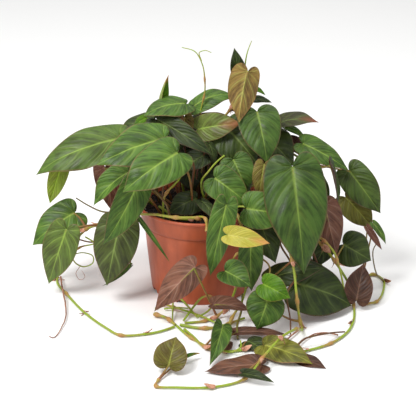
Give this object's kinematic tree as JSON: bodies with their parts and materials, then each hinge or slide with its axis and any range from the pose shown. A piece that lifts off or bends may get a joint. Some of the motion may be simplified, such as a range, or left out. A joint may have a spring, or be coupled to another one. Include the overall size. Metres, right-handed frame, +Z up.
{
  "type": "potted philodendron",
  "caption": "Trailing velvet-leaf philodendron with heart-shaped leaves on long stems that lie round its plastic nursery pot.",
  "frame": {"origin": "middle of the pot's flat underside, on the surface that the pot stands on", "axes": "+Z up along the pot's axis; -Y towards the viewer, where most of the stems trail; +X to the right"},
  "size_m": [0.3344, 0.2589, 0.2211],
  "materials": {
    "pot": "moulded terracotta-coloured polypropylene, soft sheen",
    "soil": "dark, crumbly potting mix with pale grains",
    "stem": "living stem, smooth and slightly glossy",
    "leaf_green": "velvety living leaf with pale veins",
    "leaf_lime": "young living leaf, bright and soft",
    "leaf_dark": "shaded living leaf, velvety, dark",
    "leaf_olive": "living leaf, olive with a bronze cast",
    "leaf_brown": "underside of a living leaf, maroon brown",
    "leaf_yellow": "ageing leaf, pale yellow with an orange tip"
  },
  "bodies": {
    "root": {"pot": "pot", "soil": "soil", "stem_left": "stem", "stem_front_left": "stem", "stem_front": "stem", "stem_front_low": "stem", "stem_front_right": "stem", "stem_right": "stem", "stem_far_right": "stem", "stem_crown": "stem", "stem_crown_left": "stem", "stem_crown_right": "stem", "leaf_left_broad": "leaf_green", "leaf_left_upper": "leaf_green", "leaf_left_front": "leaf_green", "leaf_left_lime": "leaf_lime", "leaf_left_behind": "leaf_brown", "leaf_left_folded": "leaf_green", "leaf_left_hanging": "leaf_dark", "leaf_left_heart": "leaf_dark", "leaf_left_outer": "leaf_green", "leaf_left_low": "leaf_olive", "leaf_top_rolled": "leaf_olive", "leaf_top_left": "leaf_green", "leaf_top_arched": "leaf_green", "leaf_top_tall": "leaf_olive", "leaf_top_spike": "leaf_dark", "leaf_top_heart": "leaf_green", "leaf_top_pale": "leaf_lime", "leaf_top_long": "leaf_dark", "leaf_top_far_right": "leaf_dark", "leaf_centre_broad": "leaf_dark", "leaf_centre_small": "leaf_green", "leaf_centre_left": "leaf_green", "leaf_centre_right": "leaf_green", "leaf_centre_lime": "leaf_lime", "leaf_right_upper": "leaf_dark", "leaf_right_great": "leaf_green", "leaf_front_brown": "leaf_brown", "leaf_front_bright": "leaf_green", "leaf_front_yellow": "leaf_yellow", "leaf_front_hanging": "leaf_green", "leaf_front_dark": "leaf_dark", "leaf_front_folded": "leaf_green", "leaf_front_tucked": "leaf_brown", "leaf_front_lime": "leaf_lime", "leaf_front_low": "leaf_green", "leaf_floor_narrow": "leaf_green", "leaf_floor_brown": "leaf_brown", "leaf_floor_olive": "leaf_olive", "leaf_floor_heart": "leaf_olive", "leaf_right_slim": "leaf_green", "leaf_right_edge": "leaf_dark", "leaf_right_thin": "leaf_dark", "leaf_right_outer": "leaf_olive", "leaf_right_olive": "leaf_olive", "leaf_right_brown": "leaf_brown", "leaf_right_round": "leaf_dark", "leaf_right_maroon": "leaf_brown", "leaf_right_low": "leaf_dark"}
  },
  "joints": []
}
